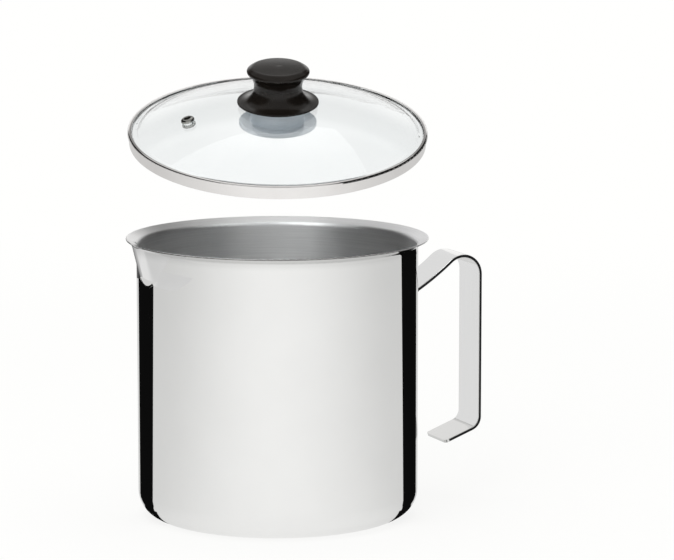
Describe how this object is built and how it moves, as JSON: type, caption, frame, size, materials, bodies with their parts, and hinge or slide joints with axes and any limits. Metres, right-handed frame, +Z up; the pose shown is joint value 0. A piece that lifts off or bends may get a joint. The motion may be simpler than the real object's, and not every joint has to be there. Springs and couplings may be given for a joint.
{
  "type": "milk pot with glass lid",
  "caption": "Straight-sided steel milk pot with a flared lip, pressed spout and open strap handle, and a domed glass lid with steel rim, vent and waisted knob, held above it.",
  "frame": {"origin": "centre of the pot's flat base, on the surface it stands on", "axes": "+Z up along the pot's axis, +X towards the handle, -X towards the spout"},
  "size_m": [0.1855, 0.1555, 0.2309],
  "materials": {
    "polished_steel": "stainless sheet, mirror polished outside and fine satin inside",
    "strap_steel": "stainless strip, polished",
    "weld_steel": "bare weld metal",
    "band_steel": "thin stainless sheet, polished",
    "clear_glass": "clear toughened glass",
    "knob_plastic": "near-black phenolic, satin",
    "silicone": "translucent grey silicone",
    "fastener_steel": "plain stainless steel",
    "insert_brass": "turned brass"
  },
  "bodies": {
    "pot": {"pot_body": "polished_steel", "strap_handle": "strap_steel", "spot_welds": "weld_steel"},
    "lid": {"lid_rim_band": "band_steel", "lid_glass": "clear_glass", "vent_eyelet": "fastener_steel", "lid_knob": "knob_plastic", "knob_insert": "insert_brass", "knob_gasket": "silicone", "glass_grommet": "silicone", "knob_washer": "fastener_steel", "knob_screw": "fastener_steel"}
  },
  "joints": [
    {"name": "lid_lift", "type": "hinge", "parent": "pot", "child": "lid", "pos_m": [-0.06635, -0.17466, 0.14015], "axis": [0.9348, -0.3551, 0], "range_deg": [-15.3, 25]}
  ]
}
